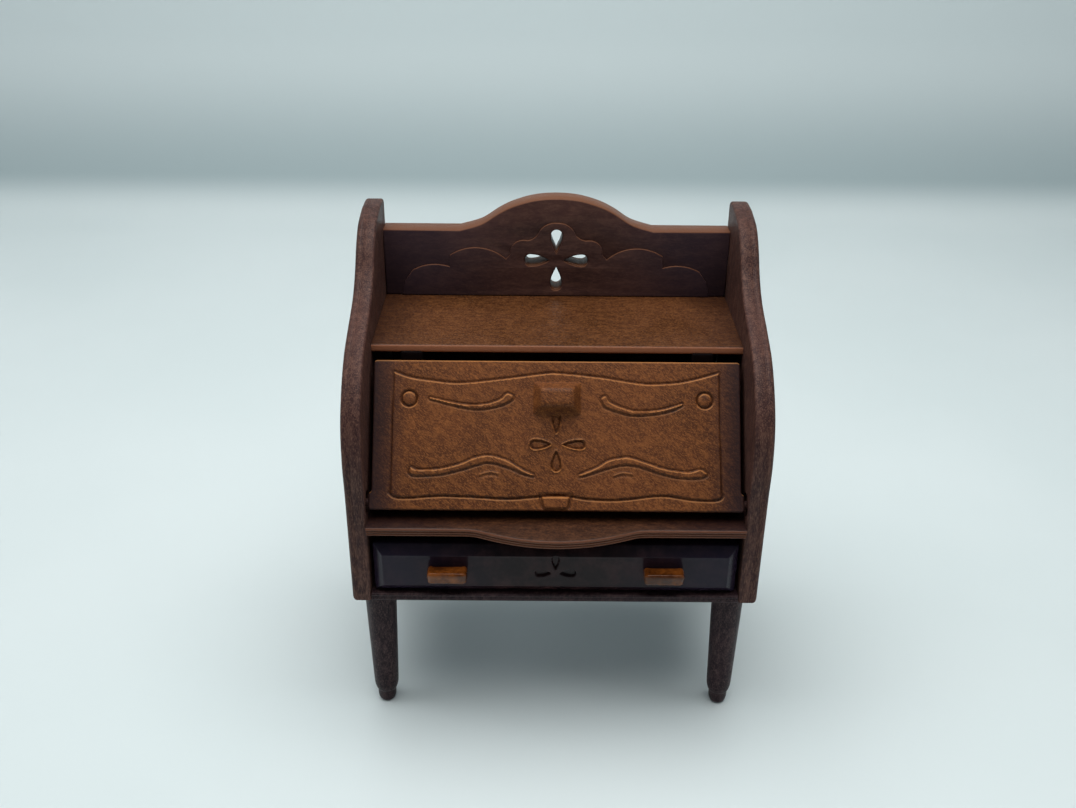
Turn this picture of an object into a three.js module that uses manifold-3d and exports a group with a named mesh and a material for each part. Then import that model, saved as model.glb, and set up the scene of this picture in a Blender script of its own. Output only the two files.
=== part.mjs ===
// A doll's-house writing bureau: two shaped sides, a pierced gallery, a sloping drop front,
// a serpentine lower shelf, one long drawer and four turned legs.
// Millimetres, +Z up. The origin is on the floor under the middle, and the front faces -Y.
import * as THREE from "three";
import { mergeVertices } from "three/addons/utils/BufferGeometryUtils.js";
import { RoundedBoxGeometry } from "three/addons/geometries/RoundedBoxGeometry.js";
import Module from "manifold-3d";

const wasm = await Module();
wasm.setup();

// Overall sizes.
const WIDTH = 76.3;
const DEPTH = 52.9;
const BACK_Y = DEPTH / 2;
const LEG_LENGTH = 28.7;
const JOINT_GAP = 0.05; // clearance between boards that meet
const CUT_PAST = 1; // how far a cutting solid reaches past the face that it opens

// Sides.
const SIDE_THICKNESS = 3.65;
const SIDE_FRONT_Y = -21;
const SIDE_TOP_Z = 92.35;
const SIDE_ARRIS = 0.35; // soft moulded edge
const SIDE_CORNER = { bottom: 0.45, top: 1.5 };
const INNER_X = WIDTH / 2 - SIDE_THICKNESS;
const TONGUE = 1.2; // how far each board enters its housing in a side
const HOUSING_GAP = 0.1;

// Gallery and back.
const GALLERY_THICKNESS = 4.55;
const GALLERY_SHOULDER_Z = 86.95;
const GALLERY_CREST_Z = 93.55;
const GALLERY_ARRIS = 0.25;
const FLOWER_Z = 80.9;
const PETAL = { start: 1.55, end: 6.3, width: 2.25 };
const BACK_BOARD_THICKNESS = 1.6;

// Shelves and bottom.
const TOP_SHELF_Z = 73.2;
const TOP_SHELF_THICKNESS = 1.4;
const TOP_SHELF_NOSE_Y = -2.55;
// Two blocks under the top shelf, against which the drop front shuts.
const STOP = { x: 27, width: 4, y: -2.8, low: 69.6, thickness: 1.2 };
const LOWER_SHELF_Z = 46.05;
const LOWER_SHELF_THICKNESS = 2.6;
const LIP_Y = -22.7;
const LIP_HEIGHT = 1.75;
const LIP_DEPTH = 2.4; // the lip hangs below the shelf by its height over this depth
const LIP_STEP = 0.15; // how far the lower bead stands behind the upper one
const LIP_BOW = BACK_Y + LIP_Y; // how far the middle of the lip swells forward
const BOW_HALF_LENGTH = 14.8;
const BOTTOM_BOARD_THICKNESS = 1.85;
const BOTTOM_BOARD_Y = -21.4;
const BOTTOM_BEAD = 0.35;

// Drop front. Its own frame has +Y up the slope and +Z out of the face, from the bottom edge.
const FLAP_LEAN_DEG = 34.2;
const FLAP_FOOT = { y: -20.08, z: 48.42 };
const FLAP_HALF_WIDTH = 33.7;
const FLAP_LENGTH = 27.5;
const FLAP_THICKNESS = 1.8;
const FLAP_ARRIS = 0.3;
const FLAP_CORNER = 0.6;
const LUG = { end: 34.2, height: 2.9, slope: 0.6 };
const PIVOT = { up: 1.4, in: 0.95, radius: 0.76, end: 35.9 };
const PIVOT_HOLE = { radius: 0.85, end: 36.3 };
const PIVOT_RECESS = { radius: 2.2, depth: 0.45 };
const PULL = { up: 20.55, base: [9.2, 6.65], face: [5.6, 2.7], height: 3, root: 0.5 };
const TAB = { width: 4.6, height: 2.4, proud: 0.5, round: 0.4 };

// Drawer.
const DRAWER_FRONT = { width: 67.8, low: 30.75, high: 41.35, edge_y: -20.05, field_y: -21.55 };
const DRAWER_BEVEL = 1.85;
const DRAWER_FRONT_THICKNESS = 1.7;
const DRAWER_FLOWER = { z: 35.6, depth: 0.45 };
const DRAWER_PETAL = { start: 0.75, end: 3.85, width: 1.55 };
const TRAY = { width: 66, low: 30.85, high: 39.9, back_y: 22.4, wall: 1.2 };
const HANDLE = { x: 19.95, width: 7.4, low: 34.7, high: 37.5, reach: 3.4, round: 0.5, undercut: 0.9 };
const HANDLE_MIDDLE_Z = (HANDLE.low + HANDLE.high) / 2;
const PEG = { radius: 0.8, length: 1.6, gap: 0.08 };

// Legs.
const LEG = { x: 33.65, front_y: -15.4, back_y: 21.4, top_radius: 3.1, foot_radius: 1.84 };
const PLUG = { radius: 0.9, length: 1.4, gap: 0.08 };

const X_AXIS = new THREE.Vector3(1, 0, 0);
const Y_AXIS = new THREE.Vector3(0, 1, 0);
const Z_AXIS = new THREE.Vector3(0, 0, 1);
// Shapes are drawn in two coordinates and stood up along the third.
const SIDE_VIEW = new THREE.Matrix4().makeBasis(Y_AXIS, Z_AXIS, X_AXIS); // (y, z) along +X
const TO_FRONT = Y_AXIS.clone().negate();
const FRONT_VIEW = new THREE.Matrix4().makeBasis(X_AXIS, Z_AXIS, TO_FRONT); // (x, z) along -Y

const PURPLE_BROWN = { color: 0x4a3532, roughness: 0.5, metalness: 0 };
const DARK_BROWN = { color: 0x33221f, roughness: 0.5, metalness: 0 };
const GOLDEN_BROWN = { color: 0x6b4527, roughness: 0.55, metalness: 0 };
const WARM_BROWN = { color: 0x573522, roughness: 0.5, metalness: 0 };
const GLOSSY_DARK = { color: 0x241c22, roughness: 0.2, metalness: 0 };
const AMBER = { color: 0x7a4a1e, roughness: 0.25, metalness: 0.1 };

// Booleans.
function solidOf(geometry) {
  const plain = geometry.clone();
  plain.deleteAttribute("normal");
  plain.deleteAttribute("uv");
  const merged = mergeVertices(plain, 1e-4);
  return new wasm.Manifold(
    new wasm.Mesh({
      numProp: 3,
      vertProperties: new Float32Array(merged.attributes.position.array),
      triVerts: new Uint32Array(merged.index.array),
    }),
  );
}

function geometryOf(solid) {
  const mesh = solid.getMesh();
  const geometry = new THREE.BufferGeometry();
  geometry.setAttribute("position", new THREE.BufferAttribute(mesh.vertProperties, 3));
  geometry.setIndex(new THREE.BufferAttribute(mesh.triVerts, 1));
  geometry.computeVertexNormals();
  return geometry;
}

function joined(...geometries) {
  return geometryOf(geometries.map(solidOf).reduce((whole, piece) => whole.add(piece)));
}

function without(geometry, ...tools) {
  const cutters = tools.map(solidOf);
  return geometryOf(cutters.reduce((whole, tool) => whole.subtract(tool), solidOf(geometry)));
}

// Simple solids between two corners, and round bars along X or Y.
function block(low, high) {
  const size = high.map((value, i) => value - low[i]);
  const middle = high.map((value, i) => (value + low[i]) / 2);
  return new THREE.BoxGeometry(...size).translate(...middle);
}

function barAlongX(radius, from, to, y, z) {
  const bar = new THREE.CylinderGeometry(radius, radius, Math.abs(to - from), 32);
  return bar.rotateZ(Math.PI / 2).translate((from + to) / 2, y, z);
}

function barAlongY(radius, from, to, x, z) {
  const bar = new THREE.CylinderGeometry(radius, radius, Math.abs(to - from), 32);
  return bar.translate(x, (from + to) / 2, z);
}

// A shape stood up between two places, with its arrises rounded inside the outline.
function roundedBoard(shape, view, thickness, round, curveSegments) {
  const geometry = new THREE.ExtrudeGeometry(shape, {
    depth: thickness - 2 * round,
    bevelThickness: round,
    bevelSize: round,
    bevelOffset: -round,
    bevelSegments: 2,
    curveSegments,
  });
  return geometry.translate(0, 0, round).applyMatrix4(view);
}

// A section in y and z drawn out along X between the sides.
function boardAcross(section, halfWidth, steps = 1) {
  const geometry = new THREE.ExtrudeGeometry(section, {
    depth: 2 * halfWidth,
    steps,
    bevelEnabled: false,
    curveSegments: 6,
  });
  return geometry.translate(0, 0, -halfWidth).applyMatrix4(SIDE_VIEW);
}

// Each board has a tongue at both ends, which enters a housing in the side.
const BOTTOM_TOP_Z = LEG_LENGTH + BOTTOM_BOARD_THICKNESS;
const TONGUES = {
  top: { front: 2, back: 24, low: TOP_SHELF_Z - TOP_SHELF_THICKNESS, high: TOP_SHELF_Z },
  lower: { front: -14, back: 22, low: LOWER_SHELF_Z - LOWER_SHELF_THICKNESS, high: LOWER_SHELF_Z },
  bottom: { front: -19, back: 24, low: LEG_LENGTH + 0.4, high: BOTTOM_TOP_Z },
};

function tongues({ front, back, low, high }) {
  const end = INNER_X + TONGUE - HOUSING_GAP;
  return block([-end, front, low], [end, back, high]);
}

function housing({ front, back, low, high }) {
  return block(
    [INNER_X - CUT_PAST, front - HOUSING_GAP, low - HOUSING_GAP],
    [INNER_X + TONGUE, back + HOUSING_GAP, high + HOUSING_GAP],
  );
}

// Where the drop front's pivot lies in the bureau's own frame.
const flapTurn = THREE.MathUtils.degToRad(90 - FLAP_LEAN_DEG);
const pivot = {
  y: FLAP_FOOT.y + PIVOT.up * Math.cos(flapTurn) + PIVOT.in * Math.sin(flapTurn),
  z: FLAP_FOOT.z + PIVOT.up * Math.sin(flapTurn) - PIVOT.in * Math.cos(flapTurn),
};

// The side's outline: straight below, a full belly, a hollow neck and a round nose at the top.
function sideOutline() {
  const { bottom, top } = SIDE_CORNER;
  const shape = new THREE.Shape();
  shape.moveTo(BACK_Y, LEG_LENGTH);
  shape.lineTo(SIDE_FRONT_Y + bottom, LEG_LENGTH);
  shape.absarc(SIDE_FRONT_Y + bottom, LEG_LENGTH + bottom, bottom, -Math.PI / 2, Math.PI, true);
  shape.lineTo(-21.15, 52);
  shape.splineThru(
    [
      [-21.45, 58.5],
      [-20.15, 65.2],
      [-16.6, 70.6],
      [-11.2, 75.2],
      [-4.6, 78.0],
      [2.2, 80.6],
      [6.7, 83.9],
      [10.0, 87.8],
      [14.2, 91.0],
      [20.5, SIDE_TOP_Z],
    ].map(([y, z]) => new THREE.Vector2(y, z)),
  );
  shape.lineTo(BACK_Y - top, SIDE_TOP_Z);
  shape.absarc(BACK_Y - top, SIDE_TOP_Z - top, top, Math.PI / 2, 0, true);
  shape.closePath();
  return shape;
}

// Each leg's plug passes up beside the side and into the bottom board, so both are cut for it.
function plugSocket(x, y, gap) {
  const height = PLUG.length + gap + CUT_PAST;
  const socket = new THREE.CylinderGeometry(PLUG.radius + gap, PLUG.radius + gap, height, 32);
  return socket.rotateX(Math.PI / 2).translate(x, y, LEG_LENGTH - CUT_PAST + height / 2);
}

// The +X side. The other one is its mirror image.
function sidePanel() {
  const panel = roundedBoard(sideOutline(), SIDE_VIEW, SIDE_THICKNESS, SIDE_ARRIS, 5);
  const recessEnd = INNER_X + PIVOT_RECESS.depth;
  return without(
    panel.translate(INNER_X, 0, 0),
    ...Object.values(TONGUES).map(housing),
    barAlongX(PIVOT_HOLE.radius, INNER_X - CUT_PAST, PIVOT_HOLE.end, pivot.y, pivot.z),
    barAlongX(PIVOT_RECESS.radius, INNER_X - CUT_PAST, recessEnd, pivot.y, pivot.z),
    plugSocket(LEG.x, LEG.front_y, 2 * PLUG.gap),
    plugSocket(LEG.x, LEG.back_y, 2 * PLUG.gap),
  );
}

function mirrored(geometry) {
  const flipped = geometry.clone().scale(-1, 1, 1);
  const index = flipped.index.array;
  for (let i = 0; i < index.length; i += 3) {
    [index[i], index[i + 1]] = [index[i + 1], index[i]];
  }
  flipped.computeVertexNormals();
  return flipped;
}

// A drop-shaped petal, its point towards the flower's middle, turned about that middle:
// two gently curved flanks from the point to a half circle.
function petal({ start, end, width }, middleZ, turn, Kind = THREE.Path) {
  const at = (along, across) => [
    along * Math.cos(turn) - across * Math.sin(turn),
    middleZ + along * Math.sin(turn) + across * Math.cos(turn),
  ];
  const half = width / 2;
  const bulge = end - half;
  const flank = bulge - start;
  const path = new Kind();
  path.moveTo(...at(start, 0));
  path.bezierCurveTo(
    ...at(start + 0.35 * flank, 0.5 * half),
    ...at(bulge - 0.4 * flank, half),
    ...at(bulge, half),
  );
  path.absarc(...at(bulge, 0), half, turn + Math.PI / 2, turn - Math.PI / 2, true);
  path.bezierCurveTo(
    ...at(bulge - 0.4 * flank, -half),
    ...at(start + 0.35 * flank, -0.5 * half),
    ...at(start, 0),
  );
  return path;
}

function quarterTurns(count) {
  return Array.from({ length: count }, (_, i) => (i * Math.PI) / 2);
}

// The gallery board above the top shelf, with an arched crest and a pierced flower.
function gallery() {
  const end = INNER_X - JOINT_GAP;
  const low = TOP_SHELF_Z + JOINT_GAP;
  const crest = [
    [19.2, GALLERY_SHOULDER_Z],
    [16.2, 87.8],
    [14.2, 88.65],
    [11.2, 90.65],
    [8.3, 92.05],
    [4.3, 93.2],
  ];
  const shape = new THREE.Shape();
  shape.moveTo(-end, low);
  shape.lineTo(end, low);
  shape.lineTo(end, GALLERY_SHOULDER_Z);
  shape.lineTo(...crest[0]);
  shape.splineThru(
    [...crest.slice(1), [0, GALLERY_CREST_Z], ...crest.map(([x, z]) => [-x, z]).reverse()].map(
      ([x, z]) => new THREE.Vector2(x, z),
    ),
  );
  shape.lineTo(-end, GALLERY_SHOULDER_Z);
  shape.closePath();
  shape.holes.push(...quarterTurns(4).map((turn) => petal(PETAL, FLOWER_Z, turn)));
  const board = roundedBoard(shape, FRONT_VIEW, GALLERY_THICKNESS, GALLERY_ARRIS, 5);
  return board.translate(0, BACK_Y, 0);
}

function backBoard() {
  const end = INNER_X - JOINT_GAP;
  const high = TOP_SHELF_Z - TOP_SHELF_THICKNESS - JOINT_GAP;
  return block([-end, BACK_Y - BACK_BOARD_THICKNESS, LEG_LENGTH], [end, BACK_Y, high]);
}

// The top shelf has a round nose, and two blocks under it that stop the drop front.
function topShelf() {
  const radius = TOP_SHELF_THICKNESS / 2;
  const low = TOP_SHELF_Z - TOP_SHELF_THICKNESS;
  const section = new THREE.Shape();
  section.moveTo(BACK_Y, low);
  section.lineTo(TOP_SHELF_NOSE_Y + radius, low);
  section.absarc(TOP_SHELF_NOSE_Y + radius, low + radius, radius, -Math.PI / 2, Math.PI / 2, true);
  section.lineTo(BACK_Y, TOP_SHELF_Z);
  section.closePath();
  const end = INNER_X - JOINT_GAP;
  const stops = [-STOP.x, STOP.x].map((x) =>
    block(
      [x - STOP.width / 2, STOP.y, STOP.low],
      [x + STOP.width / 2, STOP.y + STOP.thickness, low + radius],
    ),
  );
  return joined(boardAcross(section, end), tongues(TONGUES.top), ...stops);
}

// How far the lower shelf's lip stands forward at x: an arch that eases into straight ends.
function bow(x) {
  const arch = 1 - (x / BOW_HALF_LENGTH) ** 2;
  const ease = 0.02;
  const crown = (1 + Math.sqrt(1 + ease)) / 2;
  return (LIP_BOW * (arch + Math.sqrt(arch * arch + ease))) / 2 / crown;
}

// The lower shelf carries a lip of two beads and closes the drawer bay from above.
function lowerShelf() {
  const back = BACK_Y - BACK_BOARD_THICKNESS - JOINT_GAP;
  const low = LOWER_SHELF_Z - LOWER_SHELF_THICKNESS;
  const bead = LIP_HEIGHT / 4;
  const lipLow = LOWER_SHELF_Z - LIP_HEIGHT;
  const lowerBeadY = LIP_Y + bead + LIP_STEP;
  const section = new THREE.Shape();
  section.moveTo(back, low);
  section.lineTo(LIP_Y + LIP_DEPTH, low);
  section.lineTo(LIP_Y + LIP_DEPTH, lipLow);
  section.lineTo(lowerBeadY, lipLow);
  section.absarc(lowerBeadY, lipLow + bead, bead, -Math.PI / 2, Math.PI / 2, true);
  section.absarc(LIP_Y + bead, LOWER_SHELF_Z - bead, bead, -Math.PI / 2, Math.PI / 2, true);
  section.lineTo(back, LOWER_SHELF_Z);
  section.closePath();
  const shelf = boardAcross(section, INNER_X - JOINT_GAP, 46);
  const points = shelf.attributes.position;
  for (let i = 0; i < points.count; i += 1) {
    if (points.getY(i) < 0) points.setY(i, points.getY(i) - bow(points.getX(i)));
  }
  return joined(shelf, tongues(TONGUES.lower));
}

// The bottom board shows as a rail with a small bead along its top.
function bottomBoard() {
  const back = BACK_Y - BACK_BOARD_THICKNESS - JOINT_GAP;
  const face = BOTTOM_BOARD_Y + BOTTOM_BEAD;
  const beadZ = BOTTOM_TOP_Z - BOTTOM_BEAD;
  const section = new THREE.Shape();
  section.moveTo(back, LEG_LENGTH);
  section.lineTo(face, LEG_LENGTH);
  section.lineTo(face, beadZ - BOTTOM_BEAD);
  section.absarc(face, beadZ, BOTTOM_BEAD, -Math.PI / 2, Math.PI / 2, true);
  section.lineTo(back, BOTTOM_TOP_Z);
  section.closePath();
  const board = joined(boardAcross(section, INNER_X - JOINT_GAP), tongues(TONGUES.bottom));
  const sockets = [-LEG.x, LEG.x].flatMap((x) =>
    [LEG.front_y, LEG.back_y].map((y) => plugSocket(x, y, PLUG.gap)),
  );
  return without(board, ...sockets);
}

// A turned leg: a long taper, a rounded step and a small foot, with a plug that enters the board.
function leg() {
  const top = LEG_LENGTH - JOINT_GAP;
  const plugTop = LEG_LENGTH + PLUG.length;
  const profile = [
    [0, 0],
    [1.0, 0],
    [1.4, 0.22],
    [1.68, 0.65],
    [1.8, 1.3],
    [LEG.foot_radius, 2.95],
    [1.98, 3.05],
    [2.2, 3.6],
    [2.36, 4.4],
    [2.42, 5.3],
    [LEG.top_radius, top],
    [PLUG.radius, top],
    [PLUG.radius, plugTop],
    [0, plugTop],
  ].map(([r, z]) => new THREE.Vector2(r, z));
  return new THREE.LatheGeometry(profile, 32).rotateX(Math.PI / 2);
}

// A block whose far face is smaller than its base, standing along +Z of its own frame.
function taperedBlock(base, face, height) {
  const geometry = new THREE.BoxGeometry(1, 1, height).translate(0, 0, height / 2);
  const points = geometry.attributes.position;
  for (let i = 0; i < points.count; i += 1) {
    const size = points.getZ(i) > height / 2 ? face : base;
    points.setXY(i, points.getX(i) * size[0], points.getY(i) * size[1]);
  }
  return geometry;
}

// The drop front in its own frame: a plate with pivot lugs at its foot, a pull and a centre tab.
function flapGeometry() {
  const cornerX = FLAP_HALF_WIDTH - FLAP_CORNER;
  const cornerUp = FLAP_LENGTH - FLAP_CORNER;
  const lugTop = LUG.height + LUG.slope;
  const shape = new THREE.Shape();
  shape.moveTo(-LUG.end, 0);
  shape.lineTo(LUG.end, 0);
  shape.lineTo(LUG.end, LUG.height);
  shape.lineTo(FLAP_HALF_WIDTH, lugTop);
  shape.lineTo(FLAP_HALF_WIDTH, cornerUp);
  shape.absarc(cornerX, cornerUp, FLAP_CORNER, 0, Math.PI / 2, false);
  shape.lineTo(-cornerX, FLAP_LENGTH);
  shape.absarc(-cornerX, cornerUp, FLAP_CORNER, Math.PI / 2, Math.PI, false);
  shape.lineTo(-FLAP_HALF_WIDTH, lugTop);
  shape.lineTo(-LUG.end, LUG.height);
  shape.closePath();
  const plate = roundedBoard(shape, new THREE.Matrix4(), FLAP_THICKNESS, FLAP_ARRIS, 5);
  plate.translate(0, 0, -FLAP_THICKNESS);
  const pull = taperedBlock(PULL.base, PULL.face, PULL.height + PULL.root);
  pull.translate(0, PULL.up, -PULL.root);
  const tab = new RoundedBoxGeometry(TAB.width, TAB.height, TAB.proud * 2, 2, TAB.round);
  tab.translate(0, TAB.height / 2, 0);
  const pins = barAlongX(PIVOT.radius, -PIVOT.end, PIVOT.end, PIVOT.up, -PIVOT.in);
  return joined(plate, pull, tab, pins);
}

// The drawer's front: a raised field with mitred bevels, a sunk flower and two peg holes.
function drawerFront() {
  const { width, low, high, edge_y, field_y } = DRAWER_FRONT;
  const height = high - low;
  const slab = block([-width / 2, edge_y, low], [width / 2, edge_y + DRAWER_FRONT_THICKNESS, high]);
  const face = [width - 2 * DRAWER_BEVEL, height - 2 * DRAWER_BEVEL];
  const field = taperedBlock([width, height], face, edge_y - field_y);
  field.rotateX(Math.PI / 2).translate(0, edge_y, (low + high) / 2);
  const petals = quarterTurns(3).map((turn) => {
    const shape = petal(DRAWER_PETAL, DRAWER_FLOWER.z, turn, THREE.Shape);
    const depth = DRAWER_FLOWER.depth + CUT_PAST;
    const cutter = new THREE.ExtrudeGeometry(shape, { depth, bevelEnabled: false, curveSegments: 5 });
    return cutter.applyMatrix4(FRONT_VIEW).translate(0, field_y + DRAWER_FLOWER.depth, 0);
  });
  const holeEnd = field_y + PEG.length + PEG.gap;
  const pegHoles = [-HANDLE.x, HANDLE.x].map((x) =>
    barAlongY(PEG.radius + PEG.gap, field_y - CUT_PAST, holeEnd, x, HANDLE_MIDDLE_Z),
  );
  return without(joined(slab, field), ...petals, ...pegHoles);
}

function drawerTray() {
  const { width, low, high, back_y, wall } = TRAY;
  const front = DRAWER_FRONT.edge_y + DRAWER_FRONT_THICKNESS + JOINT_GAP;
  const inside = width / 2 - wall;
  return without(
    block([-width / 2, front, low], [width / 2, back_y, high]),
    block([-inside, front + wall, low + wall], [inside, back_y - wall, high + CUT_PAST]),
  );
}

// A block handle, its underside drawn in, with a peg that enters the drawer's front.
function handle() {
  const { width, reach, round, undercut } = HANDLE;
  const height = HANDLE.high - HANDLE.low;
  const grip = new RoundedBoxGeometry(width, reach, height, 3, round);
  const points = grip.attributes.position;
  for (let i = 0; i < points.count; i += 1) {
    const below = THREE.MathUtils.clamp(0.5 - points.getZ(i) / height, 0, 1);
    const forward = THREE.MathUtils.clamp(0.5 - points.getY(i) / reach, 0, 1);
    points.setY(i, points.getY(i) + undercut * below * forward);
  }
  grip.translate(0, -reach / 2 - JOINT_GAP, 0);
  return joined(grip, barAlongY(PEG.radius, -reach / 2, PEG.length, 0, 0));
}

const bureau = new THREE.Group();

function addPart(name, geometry, look, parent = bureau) {
  const mesh = new THREE.Mesh(geometry, new THREE.MeshStandardMaterial(look));
  mesh.name = name;
  parent.add(mesh);
  return mesh;
}

const rightSide = sidePanel();
addPart("side_panel_right", rightSide, PURPLE_BROWN);
addPart("side_panel_left", mirrored(rightSide), PURPLE_BROWN);
addPart("gallery", gallery(), DARK_BROWN);
addPart("back_board", backBoard(), DARK_BROWN);
addPart("top_shelf", topShelf(), WARM_BROWN);
addPart("lower_shelf", lowerShelf(), WARM_BROWN);
addPart("bottom_board", bottomBoard(), DARK_BROWN);

for (const [place, y] of [["front", LEG.front_y], ["back", LEG.back_y]]) {
  for (const [hand, x] of [["left", -LEG.x], ["right", LEG.x]]) {
    addPart(`leg_${place}_${hand}`, leg(), PURPLE_BROWN).position.set(x, y, 0);
  }
}

const flapFrame = new THREE.Group();
flapFrame.position.set(0, FLAP_FOOT.y, FLAP_FOOT.z);
flapFrame.rotation.x = flapTurn;
bureau.add(flapFrame);
addPart("flap", flapGeometry(), GOLDEN_BROWN, flapFrame);

addPart("drawer_front", drawerFront(), GLOSSY_DARK);
addPart("drawer_tray", drawerTray(), GLOSSY_DARK);
for (const [hand, x] of [["left", -HANDLE.x], ["right", HANDLE.x]]) {
  const grip = addPart(`drawer_handle_${hand}`, handle(), AMBER);
  grip.position.set(x, DRAWER_FRONT.field_y, HANDLE_MIDDLE_Z);
}

export default bureau;
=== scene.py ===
import math

import bmesh
import bpy
import numpy as np
from mathutils import Matrix, Vector


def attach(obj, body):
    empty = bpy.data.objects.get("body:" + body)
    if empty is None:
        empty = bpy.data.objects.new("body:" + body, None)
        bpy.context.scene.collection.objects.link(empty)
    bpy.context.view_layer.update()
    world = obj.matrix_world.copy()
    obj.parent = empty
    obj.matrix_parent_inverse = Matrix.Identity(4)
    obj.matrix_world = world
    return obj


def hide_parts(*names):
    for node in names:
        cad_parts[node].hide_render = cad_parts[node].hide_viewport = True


# A doll's house writing bureau moulded in wood-look plastic. Shapes are made in millimetres, in the
# frame of the CAD model: +X to the right, +Y to the back, +Z up. MM turns them into metres.
MM = 0.001
WIDTH = 76.3
BACK_Y = 26.45
INNER_X = 34.5
BOARDS_BACK_Y = BACK_Y - 1.65  # the lower shelf and the rail stop at the back board
JOINT_GAP = 0.05
SHARP_ANGLE = 38

SIDE = {
    "bottom": 28.7, "front": -21.0, "top": 92.35,
    "inner_round": 0.5, "outer_round": 0.85, "back_round": 1.5, "rim": 0.12,
}
SIDE_PROFILE = [
    (-21.15, 52), (-21.45, 58.5), (-20.15, 65.2), (-16.6, 70.6), (-11.2, 75.2), (-4.6, 78),
    (2.2, 80.6), (6.7, 83.9), (10, 87.8), (14.2, 91), (20.5, 92.35),
]
PARTING = {"places": (0.6, 0.68), "half_width": 0.07, "depth": 0.05}

GALLERY_FACE_Y = 21.9
GALLERY_RELIEF = 0.34
FLOWER_Z = 80.9
GALLERY_PETAL = {"start": 1.55, "end": 6.3, "width": 2.25}
PETAL_RIM = 0.16
RELIEF_ROUND = 0.17

TOP_SHELF = {"top": 73.2, "thickness": 1.4, "nose": -2.55}
STOP = {"x": 27, "width": 4, "y": -2.8, "low": 69.6, "thickness": 1.2, "overlap": 0.2, "round": 0.25}
LOWER_SHELF = {"top": 46.05, "thickness": 2.6, "lip": -22.7, "lip_depth": 2.4}
LIP_BEADS = {"groove": 45.33, "line": 44.76, "low": 44.3, "deep": 0.5}
BOW_HALF_LENGTH = 14.8
RAIL = {"low": 28.7, "top": 30.55, "face": -21.05, "bead": 0.35}

FLAP_LEAN = math.radians(34.2)
FLAP_FOOT = (-20.08, 48.42)
FLAP = {"half_width": 33.7, "length": 27.5, "thickness": 1.8, "corner": 0.6, "arris": 0.32}
LUG = {"half_width": 34.2, "low": 2.9, "high": 3.5}
PIVOT = {"up": 1.4, "depth": 0.95, "radius": 0.76, "start": 33.6, "end": 35.9, "arris": 0.15}
PIVOT_RECESS = {"radius": 2.2, "depth": 0.45, "arris": 0.15, "arris_depth": 0.12}
PIVOT_HOLE = {"gap": 0.09, "depth": 1.8}
CARVING_UP = 14.0  # the carving is drawn about a line this far up the drop front
# How high or deep each part of the drop front's carving is.
CARVING = {
    "field": 0.2, "leaf": 0.27, "ring": 0.38, "boss": 0.08, "crescent": 0.14, "petal": 0.42, "tab": 0.45,
}
CARVED_RING = {"x": 27.1, "up": 6.39, "radius": 1.42}
CRESCENT_X = 12.2
CARVED_FLOWER = (-0.1, -1.95)
PULL = {"up": 20.55, "base": (4.6, 3.33), "face": (3.0, 1.6), "height": 3.0}

DRAWER = {
    "half_width": 33.9, "low": 30.75, "high": 41.35, "edge_y": -20.05, "field_y": -21.55,
    "corner": 0.7, "arris": 0.25,
}
DRAWER_THICKNESS = 1.7
DRAWER_BEVEL = 1.85
DRAWER_FLOWER_Z = 35.6
DRAWER_PETAL = {"start": 0.75, "end": 3.85, "width": 1.55}
DRAWER_PETAL_DEPTH = 0.65
HANDLE = {
    "x": 19.95, "width": 7.4, "low": 34.7, "high": 37.5, "reach": 3.4,
    "round": 0.7, "undercut": 0.9, "taper": 0.05, "hollow": 0.16, "ridge": 0.16,
}

LEG = {"x": 33.65, "front": -15.4, "back": 21.4, "top": 28.65}
LEG_PROFILE = [
    (0.0, 0.0), (0.95, 0.0), (1.3, 0.12), (1.55, 0.4), (1.7, 0.8), (1.78, 1.3), (1.82, 2.2),
    (1.84, 2.88), (1.9, 2.98), (2.0, 3.03), (2.08, 3.2), (2.2, 3.6), (2.3, 4.0), (2.37, 4.5),
    (2.42, 5.3), (2.5, 8.0), (2.6, 11.5), (2.78, 17.5), (2.92, 22.5), (3.1, 28.65), (0.0, 28.65),
]


# ---------------------------------------------------------------- outlines

def arc(centre, radius, start, end, steps):
    """Points on an arc, the angles in degrees."""
    turns = np.radians(np.linspace(start, end, steps + 1))
    return [(centre[0] + radius * math.cos(t), centre[1] + radius * math.sin(t)) for t in turns]


def spline(points, steps):
    """A smooth curve through the points, steps segments between neighbours."""
    p = np.array(points, float)
    p = np.vstack([2 * p[0] - p[1], p, 2 * p[-1] - p[-2]])
    t = np.arange(steps)[:, None] / steps
    parts = []
    for a, b, c, d in zip(p[:-3], p[1:-2], p[2:-1], p[3:]):
        bend = 2 * a - 5 * b + 4 * c - d
        twist = 3 * b - a - 3 * c + d
        parts.append(0.5 * (2 * b + (c - a) * t + bend * t ** 2 + twist * t ** 3))
    return np.vstack(parts + [p[-2:-1]])


def arc_through(first, middle, last, steps=14):
    """Points on the arc from the first point through the middle one to the last one."""
    (ax, ay), (bx, by), (cx, cy) = first, middle, last
    turn = 2 * (ax * (by - cy) + bx * (cy - ay) + cx * (ay - by))
    a, b, c = ax * ax + ay * ay, bx * bx + by * by, cx * cx + cy * cy
    x = (a * (by - cy) + b * (cy - ay) + c * (ay - by)) / turn
    y = (a * (cx - bx) + b * (ax - cx) + c * (bx - ax)) / turn
    start, end = math.atan2(ay - y, ax - x), math.atan2(cy - y, cx - x)
    if turn < 0 and end > start:
        end -= 2 * math.pi
    if turn > 0 and end < start:
        end += 2 * math.pi
    return arc((x, y), math.hypot(ax - x, ay - y), math.degrees(start), math.degrees(end), steps)


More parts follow.
